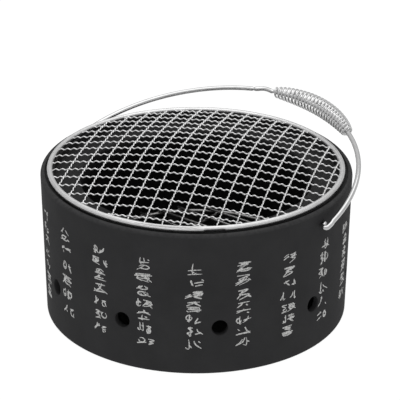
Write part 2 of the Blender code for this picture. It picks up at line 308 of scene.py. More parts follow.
def turned(profile, steps):
    """A solid of revolution. The profile runs from the top of the axis round the outside to its bottom."""
    inner = np.array(profile[1:-1])
    angles = np.linspace(0.0, 2 * pi, steps, endpoint=False)
    x = inner[:, :1] * np.cos(angles)
    y = inner[:, :1] * np.sin(angles)
    z = np.broadcast_to(inner[:, 1:], x.shape)
    corners = np.stack([x, y, z], axis=2).reshape(-1, 3)
    faces = [face[::-1] for face in band_faces(len(inner), steps, False)]
    top, bottom = len(corners), len(corners) + 1
    corners = np.concatenate([corners, [[0.0, 0.0, profile[0][1]], [0.0, 0.0, profile[-1][1]]]])
    last = (len(inner) - 1) * steps
    for step in range(steps):
        after = (step + 1) % steps
        faces.append([top, step, after])
        faces.append([bottom, last + after, last + step])
    return corners, faces


def arc(centre, radius, start, end, count):
    """Points along a flat arc, both ends included."""
    angles = [start + (end - start) * step / count for step in range(count + 1)]
    return [(centre[0] + radius * cos(angle), centre[1] + radius * sin(angle)) for angle in angles]


def smooth_path(points, spacing):
    """A smooth curve through the points, with points about this far apart along it."""
    points = np.asarray(points, float)
    padded = np.concatenate([[2 * points[0] - points[1]], points, [2 * points[-1] - points[-2]]])
    made = []
    for index in range(1, len(padded) - 2):
        before, here, there, after = padded[index - 1 : index + 3]
        count = max(2, round(np.linalg.norm(there - here) / (spacing / 4)))
        t = np.linspace(0.0, 1.0, count, endpoint=False)[:, None]
        made.append(
            0.5
            * (
                2 * here
                + (there - before) * t
                + (2 * before - 5 * here + 4 * there - after) * t**2
                + (3 * here - before - 3 * there + after) * t**3
            )
        )
    made = np.concatenate([*made, points[-1:]])
    length = np.concatenate([[0.0], np.linalg.norm(np.diff(made, axis=0), axis=1).cumsum()])
    stations = np.linspace(0.0, length[-1], round(length[-1] / spacing) + 1)
    return np.stack([np.interp(stations, length, made[:, axis]) for axis in range(made.shape[1])], axis=1)


def cut(obj, cutters):
    """Subtracts the closed shapes in cutters from obj, and bakes the result into its mesh."""
    corners, faces = joined(cutters)
    cutter = mesh_object("cutter", corners, faces, obj.data.materials[0])
    modifier = obj.modifiers.new("cut", "BOOLEAN")
    modifier.operation = "DIFFERENCE"
    modifier.solver = "EXACT"
    modifier.object = cutter
    bpy.context.view_layer.update()
    graph = bpy.context.evaluated_depsgraph_get()
    mesh = bpy.data.meshes.new_from_object(obj.evaluated_get(graph))
    obj.modifiers.clear()
    obj.data = mesh
    mesh.shade_smooth()
    mesh.set_sharp_from_angle(angle=radians(CUT_SMOOTH_ANGLE))
    bpy.data.objects.remove(cutter)


def place_shape(shape, matrix):
    """A shape's corners moved by matrix, and its faces."""
    corners, faces = shape
    rotation = np.array(matrix.to_3x3())
    return corners @ rotation.T + np.array(matrix.translation), faces


# ---------------------------------------------------------------- materials


class Shader:
    """A Principled material whose inputs are fed by noise in object space."""

    def __init__(self, name, colour, roughness, metallic=0.0, specular=0.5):
        self.material = bpy.data.materials.new(name)
        self.material.use_nodes = True
        self.tree = self.material.node_tree
        self.principled = self.tree.nodes["Principled BSDF"]
        self.principled.inputs["Base Color"].default_value = (*colour, 1.0)
        self.principled.inputs["Roughness"].default_value = roughness
        self.principled.inputs["Metallic"].default_value = metallic
        self.principled.inputs["Specular IOR Level"].default_value = specular
        self.place = self.tree.nodes.new("ShaderNodeTexCoord").outputs["Object"]
        self.normal = None

    def node(self, kind, **settings):
        made = self.tree.nodes.new(kind)
        for key, value in settings.items():
            setattr(made, key, value)
        return made

    def link(self, source, target):
        self.tree.links.new(source, target)

    def noise(self, size, detail=3.0, roughness=0.55, stretch=None):
        """Noise with features of about this size in metres. stretch scales the space first."""
        made = self.node("ShaderNodeTexNoise")
        made.inputs["Scale"].default_value = 1.0 / size
        made.inputs["Detail"].default_value = detail
        made.inputs["Roughness"].default_value = roughness
        place = self.place
        if stretch:
            mapping = self.node("ShaderNodeMapping")
            mapping.inputs["Scale"].default_value = stretch
            self.link(place, mapping.inputs["Vector"])
            place = mapping.outputs["Vector"]
        self.link(place, made.inputs["Vector"])
        return made.outputs["Fac"]

    def ramp(self, factor, low, high, low_value, high_value):
        """Maps factor's range low..high to low_value..high_value, clamped."""
        made = self.node("ShaderNodeMapRange")
        made.inputs["From Min"].default_value = low
        made.inputs["From Max"].default_value = high
        made.inputs["To Min"].default_value = low_value
        made.inputs["To Max"].default_value = high_value
        self.link(factor, made.inputs["Value"])
        return made.outputs["Result"]

    def mix(self, factor, first, second):
        """A colour between first and second, each a colour or a socket."""
        made = self.node("ShaderNodeMix", data_type="RGBA")
        colours = [socket for socket in made.inputs if socket.type == "RGBA"]
        for socket, value in zip(colours, (first, second)):
            if isinstance(value, tuple):
                socket.default_value = (*value, 1.0)
            else:
                self.link(value, socket)
        self.link(factor, made.inputs["Factor"])
        return next(socket for socket in made.outputs if socket.type == "RGBA")

    def multiply(self, first, second):
        made = self.node("ShaderNodeMath", operation="MULTIPLY")
        self.link(first, made.inputs[0])
        if isinstance(second, float):
            made.inputs[1].default_value = second
        else:
            self.link(second, made.inputs[1])
        return made.outputs["Value"]

    def coordinate(self, axis):
        made = self.node("ShaderNodeSeparateXYZ")
        self.link(self.place, made.inputs["Vector"])
        return made.outputs[axis]

    def colour(self, source):
        self.link(source, self.principled.inputs["Base Color"])

    def roughness(self, source):
        self.link(source, self.principled.inputs["Roughness"])

    def bump(self, height, depth, strength=1.0):
        """Adds relief: depth in metres for a full swing of height."""
        made = self.node("ShaderNodeBump")
        made.inputs["Strength"].default_value = strength
        made.inputs["Distance"].default_value = depth
        self.link(height, made.inputs["Height"])
        if self.normal:
            self.link(self.normal, made.inputs["Normal"])
        self.normal = made.outputs["Normal"]
        self.link(self.normal, self.principled.inputs["Normal"])


def coating(name, dark, light, rough, specular):
    """A baked-on dark coating with a fine orange-peel surface."""
    shader = Shader(name, dark, rough, specular=specular)
    cloud = shader.noise(28 * MM, detail=4.0)
    grain = shader.noise(0.5 * MM, detail=2.0)
    blotch = shader.mix(shader.ramp(cloud, 0.35, 0.65, 0.0, 1.0), dark, light)
    speck = tuple(1.5 * value for value in light)
    shader.colour(shader.mix(shader.ramp(grain, 0.6, 0.8, 0.0, 0.5), blotch, speck))
    shader.roughness(shader.ramp(grain, 0.3, 0.7, rough - 0.07, rough + 0.07))
    shader.bump(shader.noise(1.1 * MM, detail=2.0), 0.03 * MM)
    shader.bump(grain, 0.012 * MM)
    return shader


def drum_coating():
    """The coating on the drum, with a painted highlight that lightens it in patches along the lip."""
    shader = coating("drum_coating", (0.0285, 0.0285, 0.0295), (0.0335, 0.0335, 0.0345), 0.62, 0.05)
    # Painted highlight: the wall is lightened in patches towards the lip, where its rounded edge catches the
    # light from above.
    lip_highlight = shader.ramp(shader.coordinate("Z"), 116.2 * MM, 118.6 * MM, 0.0, 0.85)
    patchy_lip_highlight = shader.multiply(lip_highlight, shader.ramp(shader.noise(3 * MM), 0.3, 0.6, 0.35, 1.0))
    clean = shader.principled.inputs["Base Color"].links[0].from_socket
    shader.colour(shader.mix(patchy_lip_highlight, clean, (0.066, 0.066, 0.067)))
    return shader.material


def pot_coating():
    """A coating like the drum's, painted darker as shade on the flange, which faces up into the light;
    inside the pot it goes over to a near-black painted shade in patches.
    """
    # Painted shade: these colours are darker than the drum's because the flange faces the overhead light.
    shader = coating("pot_coating", (0.02, 0.02, 0.0205), (0.028, 0.028, 0.0286), 0.55, 0.12)
    height = shader.coordinate("Z")
    # Painted shade: the inside of the pot, below the flange, goes near black in patches.
    pot_inside_shade = shader.ramp(height, INSIDE_SHADE_BOTTOM, INSIDE_SHADE_TOP, 1.0, 0.0)
    clean = shader.principled.inputs["Base Color"].links[0].from_socket
    patches = shader.ramp(shader.noise(6 * MM), 0.4, 0.7, 0.0, 1.0)
    pot_inside_shade_colour = shader.mix(patches, (0.004, 0.004, 0.004), (0.009, 0.009, 0.009))
    shader.colour(shader.mix(pot_inside_shade, clean, pot_inside_shade_colour))
    return shader.material


def bright_steel(name, colour, rough, smear):
    """Plated wire: clean and mirror-like, with faint smears and a very fine unevenness."""
    shader = Shader(name, colour, rough, metallic=1.0)
    cloud = shader.noise(7 * MM, detail=4.0)
    dull = tuple(0.88 * value for value in colour)
    shader.colour(shader.mix(shader.ramp(cloud, 0.35, 0.7, 0.0, 1.0), colour, dull))
    fine = shader.noise(0.6 * MM, detail=3.0)
    shader.roughness(shader.ramp(fine, 0.3, 0.75, rough - smear, rough + smear))
    shader.bump(fine, 0.0015 * MM)
    return shader.material


def grate_steel():
    """The grate's wire, duller than the net's and stained by heat."""
    shader = Shader("grate_steel", (0.5, 0.5, 0.5), 0.34, metallic=1.0)
    cloud = shader.ramp(shader.noise(5 * MM, detail=4.0), 0.35, 0.7, 0.0, 1.0)
    shader.colour(shader.mix(cloud, (0.62, 0.62, 0.62), (0.36, 0.35, 0.34)))
    fine = shader.noise(0.7 * MM, detail=3.0)
    shader.roughness(shader.ramp(fine, 0.3, 0.75, 0.25, 0.42))
    shader.bump(fine, 0.012 * MM)
    return shader.material


def ink():
    """Off-white printed ink, thin and broken where the brush ran dry."""
    shader = Shader("printed_marks", (0.5, 0.5, 0.49), 0.6, specular=0.3)
    dry = shader.noise(0.7 * MM, detail=2.0, stretch=(1.0, 1.0, 0.45))
    shader.colour(shader.mix(shader.ramp(dry, 0.46, 0.66, 0.0, 1.0), (0.6, 0.6, 0.59), (0.22, 0.22, 0.22)))
    shader.bump(dry, 0.01 * MM)
    return shader.material


def plain_floor():
    """A pale sheet that glows, like a light table, and looks greyer in the steel's reflections."""
    shader = Shader("floor", (0.12, 0.12, 0.12), 0.8, specular=0.1)
    mirrored = shader.node("ShaderNodeLightPath").outputs["Is Glossy Ray"]
    glow = shader.mix(mirrored, (1.0, 1.0, 1.0), (FLOOR_MIRRORED, FLOOR_MIRRORED, FLOOR_MIRRORED))
    shader.link(glow, shader.principled.inputs["Emission Color"])
    shader.principled.inputs["Emission Strength"].default_value = FLOOR_GLOW
    return shader.material


# ---------------------------------------------------------------- drum


def drum_outer_radius(height):
    """The radius of the drum's outside, which leans out evenly up to the shoulder."""
    share = height / DRUM_SHOULDER
    return DRUM_BASE_RADIUS + (DRUM_TOP_RADIUS - DRUM_BASE_RADIUS) * share


def drum_profile():
    """The drum's section, from the middle of the floor up the inside, over the lip and down the outside."""
    fillet_top = FLOOR + FLOOR_FILLET
    fillet_centre = (drum_outer_radius(fillet_top) - WALL - FLOOR_FILLET, fillet_top)
    lip_round = LIP_HEIGHT - DRUM_SHOULDER
    lip_centre = (DRUM_TOP_RADIUS - lip_round, DRUM_SHOULDER)
    lip_edge = (LIP_INNER_RADIUS + LIP_EDGE, LIP_HEIGHT - LIP_EDGE)
    base_centre = (drum_outer_radius(BASE_ROUND) - BASE_ROUND, BASE_ROUND)
    profile = [(0.0, FLOOR), (FLOOR_RING, FLOOR)]
    profile += arc(fillet_centre, FLOOR_FILLET, -pi / 2, 0.0, 8)
    profile += [
        (drum_outer_radius(LEDGE_UNDERSIDE) - WALL, LEDGE_UNDERSIDE),
        (LEDGE_RADIUS, LEDGE_UNDERSIDE + LEDGE_CHAMFER),
    ]
    profile += arc((LEDGE_RADIUS + LIP_EDGE, LEDGE_TOP - LIP_EDGE), LIP_EDGE, pi, pi / 2, 4)
    profile.append((LIP_INNER_RADIUS, LEDGE_TOP))
    profile += arc(lip_edge, LIP_EDGE, pi, pi / 2, 5)
    profile += arc(lip_centre, lip_round, pi / 2, 0.0, 10)
    rings = round((DRUM_SHOULDER - BASE_ROUND) / WALL_RING_PITCH)
    for ring in range(1, rings):
        height = DRUM_SHOULDER + (BASE_ROUND - DRUM_SHOULDER) * ring / rings
        profile.append((drum_outer_radius(height), height))
    profile += arc(base_centre, BASE_ROUND, 0.0, -pi / 2, 6)
    profile += [(BASE_RING, 0.0), (0.0, 0.0)]
    return profile


def flared_cutter(radius, flare, azimuth, height):
    """A cutter for a hole through the drum's wall, which rounds the hole's outer edge.

    It starts HOLE_SINK under the wall's surface, so that the rounding meets the curved wall all round.
    """
    profile = [(0.0, WALL), (radius + flare, WALL)]
    profile += arc((radius + flare, -flare), flare, pi / 2, pi, 5)
    profile += [(radius, -2 * WALL), (0.0, -2 * WALL)]
    reach = drum_outer_radius(height) - HOLE_SINK
    matrix = Matrix.Translation((reach * cos(azimuth), reach * sin(azimuth), height))
    matrix @= Matrix.Rotation(azimuth, 4, "Z") @ Matrix.Rotation(pi / 2, 4, "Y")
    return place_shape(turned(profile, HOLE_SIDES), matrix)


def vent_azimuths():
    """Where the draught holes are: evenly round the drum, but for those in VENT_OFF_PITCH."""
    even = [VENT_START + 2 * pi * index / VENT_COUNT for index in range(VENT_COUNT)]
    return [azimuth + VENT_OFF_PITCH.get(index, 0.0) for index, azimuth in enumerate(even)]


def build_drum(material):
    corners, faces = turned(drum_profile(), DRUM_STEPS)
    drum = mesh_object("drum_shell", corners, faces, material)
    cutters = []
    for azimuth in vent_azimuths():
        cutters.append(flared_cutter(VENT_RADIUS, VENT_ROUND, azimuth, VENT_HEIGHT))
    for azimuth in (PIVOT_AZIMUTH, PIVOT_AZIMUTH + pi):
        cutters.append(flared_cutter(PIVOT_HOLE_RADIUS, PIVOT_ROUND, azimuth, PIVOT_HEIGHT))
    cut(drum, cutters)
    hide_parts("drum_body")
    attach(drum, "drum")


# ---------------------------------------------------------------- printed marks


def bar(rng):
    """A short stroke across, rising a little to the right."""
    height = rng.uniform(-0.42, 0.42)
    reach = rng.uniform(0.28, 0.5)
    rise = rng.uniform(0.02, 0.14)
    return [(-reach, height - rise), (0.0, height + 0.3 * rise), (reach, height + rise)]


def post(rng):
    """A stroke down that ends in a small hook."""
    x = rng.uniform(-0.32, 0.32)
    side = rng.choice((-1, 1))
    foot = rng.uniform(-0.5, -0.3)
    return [(x, 0.48), (x - 0.04 * side, 0.05), (x, foot), (x + 0.2 * side, foot + 0.13)]


def sweep(rng):
    """A slanting stroke that curves away to one side."""
    side = rng.choice((-1, 1))
    start = rng.uniform(-0.15, 0.15)
    top = rng.uniform(0.2, 0.48)
    foot = rng.uniform(-0.48, -0.25)
    return [(start, top), (start + 0.13 * side, 0.0), (0.48 * side, foot)]


def curl(rng):
    """A running stroke that winds down through the mark."""
    side = rng.choice((-1, 1))
    points = [(-0.4 * side, rng.uniform(0.3, 0.46))]
    for height in (0.32, 0.02, -0.12, -0.44):
        points.append((side * rng.uniform(0.2, 0.46), height + rng.uniform(-0.07, 0.07)))
        side = -side
    return points


def loop(rng):
    """A stroke that runs most of the way round an oval."""
    start = rng.uniform(0.0, 2 * pi)
    centre = rng.uniform(-0.12, 0.12)
    angles = [start + step * radians(62) for step in range(6)]
    return [(0.34 * cos(angle), centre + 0.3 * sin(angle)) for angle in angles]


def dab(rng):
    """A short touch of the brush, down to the right."""
    x = rng.uniform(-0.44, 0.36)
    y = rng.uniform(-0.32, 0.44)
    return [(x, y), (x + rng.uniform(0.08, 0.2), y - rng.uniform(0.1, 0.24))]


# The groups of strokes in a mark: each group's middle, and its width and height, as shares of the mark
LAYOUTS = (
    ((0.0, 0.0, 1.0, 1.0),),
    ((-0.3, 0.0, 0.42, 0.95), (0.22, 0.0, 0.6, 0.9)),
    ((0.0, 0.27, 0.85, 0.5), (0.0, -0.26, 0.95, 0.52)),
    ((-0.24, 0.04, 0.55, 0.85), (0.3, -0.08, 0.4, 0.75)),
)
STROKES = (bar, bar, post, sweep, sweep, curl, loop, dab, dab)


def mark_strokes(rng, width, height):
    """The strokes of one invented mark, laid out in one or two groups."""
    layout = rng.choice(LAYOUTS)
    strokes = []
    for x, y, wide, high in layout:
        for _ in range(rng.randint(3, 4) + (len(layout) == 1)):
            points = rng.choice(STROKES)(rng)
            strokes.append([(width * (x + wide * a), height * (y + high * b)) for a, b in points])
    return strokes


def stroke_ribbon(points, azimuth, height, thick, lift):
    """A thin ribbon of ink on the drum's wall. points are (across, up) from the mark's middle."""
    path = smooth_path(points, MARK_STEP)
    along = np.gradient(path, axis=0)
    along /= np.maximum(np.linalg.norm(along, axis=1)[:, None], 1e-9)
    across = np.stack([-along[:, 1], along[:, 0]], axis=1)
    share = np.linspace(0.0, 1.0, len(path))
    half = 0.5 * thick * (0.35 + 0.65 * np.sin(pi * np.clip(share * 0.8 + 0.16, 0.0, 1.0)) ** 0.7)
    rings = []
    for side, depth in ((1, -INK_UNDER), (1, lift), (-1, lift), (-1, -INK_UNDER)):
        flat = path + side * half[:, None] * across
        up = height + flat[:, 1]
        reach = drum_outer_radius(up) + depth
        angle = azimuth + flat[:, 0] / reach
        rings.append(np.stack([reach * np.cos(angle), reach * np.sin(angle), up], axis=1))
    corners = np.stack(rings, axis=1).reshape(-1, 3)
    faces = band_faces(len(path), 4, False)
    faces.append([3, 2, 1, 0])
    last = len(corners) - 4
    faces.append([last, last + 1, last + 2, last + 3])
    return corners, faces


def clear_of_holes(points, azimuth, height):
    """Whether the stroke stays off the draught holes."""
    for x, y in points:
        for vent in vent_azimuths():
            turn = (azimuth + x / DRUM_TOP_RADIUS - vent + pi) % (2 * pi) - pi
            across = turn * DRUM_TOP_RADIUS
            if sqrt(across**2 + (height + y - VENT_HEIGHT) ** 2) < VENT_RADIUS + MARK_CLEARANCE:
                return False
    return True


def column_of_marks(rng, azimuth, top, bottom):
    """The ribbons of a column of marks on the drum's wall."""
    shapes = []
    count = rng.randint(6, 7)
    weights = [rng.uniform(0.85, 1.2) for _ in range(count)]
    height = top
    for weight in weights:
        room = (top - bottom) * weight / sum(weights)
        width = rng.uniform(*MARK_WIDTHS)
        middle = height - room / 2
        sway = rng.uniform(-MARK_SWAY, MARK_SWAY)
        for number, points in enumerate(mark_strokes(rng, width, 0.82 * room)):
            points = [(x + sway, y) for x, y in points]
            thick = rng.uniform(*BRUSH_WIDTHS)
            if clear_of_holes(points, azimuth, middle):
                lift = INK_OVER + number * INK_STEP
                shapes.append(stroke_ribbon(points, azimuth, middle, thick, lift))
        height -= room
    return shapes


def build_marks(material):
    """The columns of marks. Those in front start lower one by one, and the others anywhere between."""
    rng = random.Random(MARK_SEED)
    shapes = []
    for column in range(MARK_COLUMN_COUNT):
        azimuth = MARK_COLUMN_START + 2 * pi * column / MARK_COLUMN_COUNT
        in_front = column < MARK_FRONT_COLUMNS
        fall = column / (MARK_FRONT_COLUMNS - 1) if in_front else rng.random()
        bottom = rng.uniform(*MARK_BOTTOMS)
        shapes += column_of_marks(rng, azimuth, MARK_TOP - MARK_FALL * fall, bottom)
    marks = mesh_object("printed_marks", *joined(shapes), material, MARK_SMOOTH_ANGLE)
    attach(marks, "drum")


# ---------------------------------------------------------------- fire pot and grate


def pot_profile():
    """The pot's section, from the middle of the floor up the inside, over the rim and down the outside."""
    floor_corner = (POT_FLOOR_RADIUS - POT_CORNER, POT_FLOOR_TOP + POT_CORNER)
    mouth_corner = (POT_MOUTH_RADIUS + POT_CORNER, POT_FLANGE_TOP - POT_CORNER)
    flange_corner = (POT_STEP_RADIUS - POT_BEND, POT_FLANGE_TOP + POT_BEND)
    rim_corner = (POT_STEP_RADIUS + POT_BEND, POT_RIM_TOP - POT_BEND)
    rim_edge = POT_SHEET / 2
    rim_end = (POT_RIM_RADIUS - rim_edge, POT_RIM_TOP - rim_edge)
    profile = [(0.0, POT_FLOOR_TOP), (POT_FLOOR_RING, POT_FLOOR_TOP)]
    profile += arc(floor_corner, POT_CORNER, -pi / 2, 0.0, 8)
    profile += arc(mouth_corner, POT_CORNER, pi, pi / 2, 8)
    profile += arc(flange_corner, POT_BEND, -pi / 2, 0.0, 5)
    profile += arc(rim_corner, POT_BEND, pi, pi / 2, 5)
    profile += arc(rim_end, rim_edge, pi / 2, -pi / 2, 8)
    profile += [
        (POT_STEP_RADIUS + POT_SHEET, POT_RIM_TOP - POT_SHEET),
        (POT_STEP_RADIUS + POT_SHEET, POT_FLANGE_TOP - POT_SHEET),
        (POT_MOUTH_RADIUS + POT_SHEET + 1 * MM, POT_FLANGE_TOP - POT_SHEET),
        (POT_MOUTH_RADIUS + POT_SHEET, POT_FLANGE_TOP - POT_CORNER),
        (POT_FLOOR_RADIUS + POT_SHEET, POT_FLOOR_TOP + POT_CORNER),
    ]
    profile += arc(floor_corner, POT_CORNER + POT_SHEET, 0.0, -pi / 2, 8)
    profile += [(POT_FLOOR_RING, POT_FLOOR_TOP - POT_SHEET), (0.0, POT_FLOOR_TOP - POT_SHEET)]
    return profile


def build_pot(material):
    corners, faces = turned(pot_profile(), POT_STEPS)
    pot = mesh_object("fire_pot_shell", corners, faces, material)
    side = [(POT_HOLE_RADIUS, POT_CUT), (POT_HOLE_RADIUS, -POT_CUT)]
    hole = turned([(0.0, POT_CUT), *side, (0.0, -POT_CUT)], POT_HOLE_SIDES)
    cutters = []
    for count, reach in POT_HOLE_RINGS:
        for index in range(count):
            azimuth = 2 * pi * (index + 0.5) / count
            place = (reach * cos(azimuth), reach * sin(azimuth), POT_FLOOR_TOP)
            cutters.append(place_shape(hole, Matrix.Translation(place)))
    cut(pot, cutters)
    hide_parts("fire_pot")
    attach(pot, "fire_pot")


def direction(azimuth):
    """A flat unit vector that points this way."""
    return Vector((cos(azimuth), sin(azimuth)))


def grate_place(reach, offset, height):
    """A point of the grate: reach along its bars, offset across them."""
    place = direction(PIVOT_AZIMUTH) * reach + direction(PIVOT_AZIMUTH + pi / 2) * offset
    return (place.x, place.y, height)


def straight(start, end, count=24):
    """Points along a straight line, both ends included."""
    return np.linspace(start, end, count + 1)


def weld(place, radius):
    """A small flattened bead where two wires of the grate meet."""
    profile = arc((0.0, 0.0), radius, pi / 2, -pi / 2, 6)
    profile = [(max(x, 0.0), WELD_FLATNESS * z) for x, z in profile]
    corners, faces = turned(profile, 10)
    return corners + np.array(place), faces


def grate_ring():
    angles = np.linspace(0.0, 2 * pi, POT_STEPS, endpoint=False)
    x, y = GRATE_RADIUS * np.cos(angles), GRATE_RADIUS * np.sin(angles)
    return tube(np.stack([x, y, angles * 0 + GRATE_HEIGHT], axis=1), (0, 0, 1), GRATE_RING_WIRE, closed=True)


def grate_bars(bar_height):
    circle = GRATE_RADIUS + GRATE_BAR_WIRE
    bars = []
    for number in GRATE_BARS:
        offset = GRATE_BAR_PITCH * number
        half = sqrt(circle**2 - offset**2) - GAP
        ends = [grate_place(side * half, offset, bar_height) for side in (-1, 1)]
        bars.append(tube(straight(*ends), (0, 0, 1), GRATE_BAR_WIRE))
    return bars


def grate_crosses(cross_height, cross_half):
    half = cross_half + GRATE_CROSS_OVERRUN
    crosses = []
    for reach in (-GRATE_CROSS_OFFSET, GRATE_CROSS_OFFSET):
        ends = [grate_place(reach, side * half, cross_height) for side in (-1, 1)]
        crosses.append(tube(straight(*ends), (0, 0, 1), GRATE_CROSS_WIRE))
    return crosses


def grate_welds(bar_height, cross_half):
    """Beads where the bars meet the ring and the cross bars."""
    welds = []
    for number in GRATE_BARS:
        offset = GRATE_BAR_PITCH * number
        reach = sqrt(GRATE_RADIUS**2 - offset**2)
        for side in (-1, 1):
            welds.append(weld(grate_place(side * reach, offset, bar_height - WELD_DROP), RING_WELD))
        if abs(offset) < cross_half:
            for side in (-1, 1):
                place = grate_place(side * GRATE_CROSS_OFFSET, offset, bar_height - CROSS_WELD)
                welds.append(weld(place, CROSS_WELD))
    return welds


def build_grate(material):
    """The ring with its welds, the bars over it, and the cross bars under the bars."""
    bar_height = GRATE_HEIGHT + GRATE_RING_WIRE + GAP + GRATE_BAR_WIRE
    cross_height = bar_height - GRATE_BAR_WIRE - GAP - GRATE_CROSS_WIRE
    cross_circle = GRATE_RADIUS - GRATE_RING_WIRE - GAP - GRATE_CROSS_WIRE / 2
    cross_half = sqrt(cross_circle**2 - GRATE_CROSS_OFFSET**2)
    ring_shapes = [grate_ring(), *grate_welds(bar_height, cross_half)]
    bar_nodes = [f"grate_bar_{index:02d}" for index in range(1, len(GRATE_BARS) + 1)]
    cross_nodes = ["grate_cross_bar_1", "grate_cross_bar_2"]
    for name, shapes, nodes in (
        ("grate_ring_wire", ring_shapes, ["grate_ring"]),
        ("grate_bar_wires", grate_bars(bar_height), bar_nodes),
        ("grate_cross_wires", grate_crosses(cross_height, cross_half), cross_nodes),
    ):
        piece = mesh_object(name, *joined(shapes), material)
        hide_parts(*nodes)
        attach(piece, "charcoal_grate")


# ---------------------------------------------------------------- grill net


def column_offset(column, reach):
    """A column wire's distance from the net's centre line. Each column bows a little sideways."""
    return COLUMN_SHIFT + COLUMN_PITCH * column + COLUMN_BOW * (1 - (reach / RING_RADIUS) ** 2)


def net_crossing(row, column):
    """Where a row wire and a column wire cross, in plan, from the net's centre."""
    along = direction(ROW_AZIMUTH)
    across = direction(ROW_AZIMUTH + pi / 2)
    column_along = direction(COLUMN_AZIMUTH)
    column_across = direction(COLUMN_AZIMUTH + pi / 2)
    row_offset = ROW_SHIFT + ROW_PITCH * row
    place = Vector((0.0, 0.0))
    for _ in range(4):
        offset = column_offset(column, place.dot(column_along))
        reach = (offset - row_offset * across.dot(column_across)) / along.dot(column_across)
        place = along * reach + across * row_offset
    return place


def row_line(row):
    """A row wire in plan: its stations, their places, its numbered crossings, and how far it waves."""
    offset = ROW_SHIFT + ROW_PITCH * row
    half = sqrt(NET_WIRE_REACH**2 - offset**2)
    along, across = direction(ROW_AZIMUTH), direction(ROW_AZIMUTH + pi / 2)
    reaches = np.arange(-half, half, NET_STEP)
    places = [across * offset + along * reach for reach in reaches]
    crossings = [(net_crossing(row, column).dot(along), column) for column in CROSSING_RANGE]
    return reaches, places, sorted(crossings), ROW_WEAVE * (-1) ** row


def column_line(column):
    """A column wire in plan, in the same terms as row_line."""
    along, across = direction(COLUMN_AZIMUTH), direction(COLUMN_AZIMUTH + pi / 2)
    reaches, places = [], []
    for reach in np.arange(-RING_RADIUS, RING_RADIUS, NET_STEP):
        place = along * reach + across * column_offset(column, reach)
        if place.length < NET_WIRE_REACH:
            reaches.append(reach)
            places.append(place)
    crossings = [(net_crossing(row, column).dot(along), row) for row in CROSSING_RANGE]
    return np.array(reaches), places, sorted(crossings), -COLUMN_WEAVE * (-1) ** column


def net_wire(line):
    """A crimped wire: it waves up and down, and passes over and under the wires that it crosses."""
    reaches, places, crossings, weave = line
    numbers = np.interp(reaches, [reach for reach, _ in crossings], [number for _, number in crossings])
    wave = weave * np.cos(2 * pi * WAVES_PER_CELL * numbers)
    away = np.array([place.length for place in places])
    dome = DOME_RISE * np.clip(1 - (away / RING_RADIUS) ** DOME_POWER, 0.0, 1.0)
    x = np.array([place.x for place in places]) + NET_CENTRE.x
    y = np.array([place.y for place in places]) + NET_CENTRE.y
    return tube(np.stack([x, y, RING_HEIGHT + dome + wave], axis=1), (0, 0, 1), NET_WIRE, sides=8)


def ring_section(angles, azimuth):
    """The rim's radius round its section at this azimuth: a strip with a seam, and a joint in front."""
    reach = np.full(len(angles), RING_WIRE)
    turn = (angles - SEAM_ANGLE + pi) % (2 * pi) - pi
    opened = np.exp(-(((azimuth - OPEN_SEAM_AZIMUTH) / OPEN_SEAM_REACH) ** 4))
    depth = SEAM_DEPTH + (OPEN_SEAM_DEPTH - SEAM_DEPTH) * opened
    width = SEAM_WIDTH * (1.0 + 2.0 * opened)
    reach -= depth * np.exp(-((turn / width) ** 2))
    joint = soft_step(azimuth, JOINT_START) * soft_step(-azimuth, -JOINT_END)
    turn = (angles - JOINT_ANGLE + pi) % (2 * pi) - pi
    reach -= JOINT_DEPTH * joint * np.clip(1.25 - np.abs(turn) / JOINT_SPREAD, 0.0, 1.0)
    return reach


def soft_step(value, edge):
    """From 0 to 1 as value passes edge, over JOINT_BLEND."""
    return min(max((value - edge) / JOINT_BLEND + 0.5, 0.0), 1.0)


def build_rim(material):
    """The ring round the net."""
    angles = SEAM_ANGLE + np.linspace(-pi, pi, RING_SIDES, endpoint=False)
    corners = []
    for step in range(RING_STEPS):
        azimuth = -pi + 2 * pi * step / RING_STEPS
        outward = np.array([cos(azimuth), sin(azimuth), 0.0])
        centre = outward * RING_RADIUS + np.array([RING_CENTRE.x, RING_CENTRE.y, RING_HEIGHT])
        section = np.cos(angles)[:, None] * outward + np.sin(angles)[:, None] * (0, 0, 1)
        corners.append(centre + ring_section(angles, azimuth)[:, None] * section)
    faces = [face[::-1] for face in band_faces(RING_STEPS, RING_SIDES, True)]
    rim = mesh_object("net_rim", np.concatenate(corners), faces, material)
    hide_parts("net_ring")
    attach(rim, "grill_net")


def build_net(material):
    """The two crossing sets of crimped wires."""
    rows = [f"net_row_{index + 1:02d}" for index in range(len(ROWS))]
    columns = [f"net_column_{index + 1:02d}" for index in range(len(COLUMNS))]
    for name, lines, nodes in (
        ("net_row_wires", [row_line(row) for row in ROWS], rows),
        ("net_column_wires", [column_line(column) for column in COLUMNS], columns),
    ):
        corners, faces = joined([net_wire(line) for line in lines])
        wires = mesh_object(name, corners, faces, material)
        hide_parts(*nodes)
        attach(wires, "grill_net")


# ---------------------------------------------------------------- bail and grip


def bail_matrix():
    """From the bail's own plane, x along the pivot axis and y across it, to the grill's frame."""
    place = Matrix.Translation((0.0, 0.0, PIVOT_HEIGHT))
    return place @ Matrix.Rotation(PIVOT_AZIMUTH, 4, "Z") @ Matrix.Rotation(BAIL_TILT, 4, "X")


def jog(angle):
    """How far the bail's arc stands out at this angle: a bump that stops the grip."""
    if not JOG_START < angle < JOG_END:
        return 0.0
    share = (angle - JOG_START) / (JOG_END - JOG_START)
    return JOG_HEIGHT * sin(pi * share) ** 2


def bail_arc():
    """The bail's half circle with its jog, in the bail's own plane."""
    points = []
    for degrees in range(-88, 89):
        angle = radians(degrees)
        radius = BAIL_RADIUS + jog(angle)
        points.append((radius * sin(angle), radius * cos(angle)))
    return points


